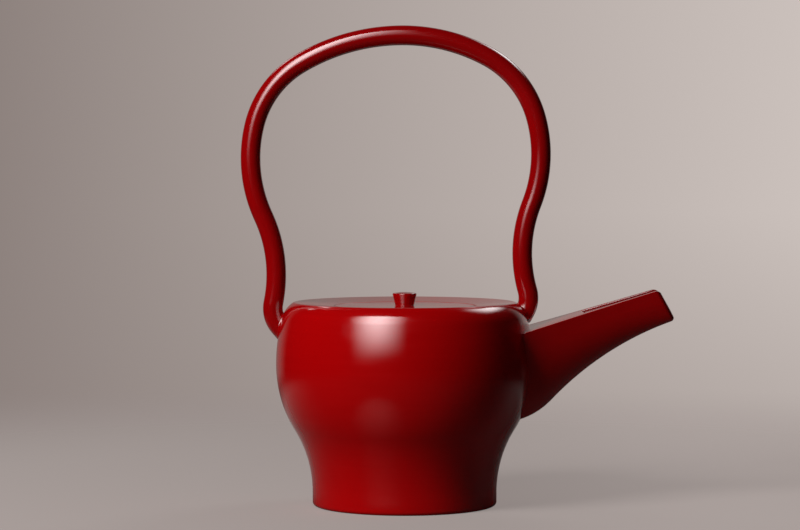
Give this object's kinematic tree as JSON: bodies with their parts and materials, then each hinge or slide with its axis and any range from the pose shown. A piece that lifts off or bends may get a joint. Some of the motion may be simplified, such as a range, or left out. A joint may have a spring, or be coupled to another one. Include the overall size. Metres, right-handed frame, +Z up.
{
  "type": "sake ewer",
  "caption": "Red-lacquered turned wooden sake ewer with a flared trough spout, a tall fixed bail handle and an inset lift-off lid, for carrying and pouring sake.",
  "frame": {"origin": "centre of the foot ring, on the surface that the ewer stands on", "axes": "+Z up, +X towards the spout's tip, the handle's plane is XZ"},
  "size_m": [0.2168, 0.1284, 0.2393],
  "materials": {
    "red_lacquer": "smooth glossy red lacquer over turned and carved wood",
    "bamboo": "bare split bamboo"
  },
  "bodies": {
    "ewer": {"body": "red_lacquer", "top_plate": "red_lacquer", "spout_trough": "red_lacquer", "spout_cover": "red_lacquer", "spout_pegs": "bamboo", "handle": "red_lacquer", "rear_tenon_wedge": "bamboo", "front_tenon_wedge": "bamboo"},
    "lid": {"lid": "red_lacquer", "lid_knob": "red_lacquer"}
  },
  "joints": [
    {"name": "lid_lift", "type": "slide", "parent": "ewer", "child": "lid", "axis": [0, 0, 1], "range_m": [0, 0.1]}
  ]
}
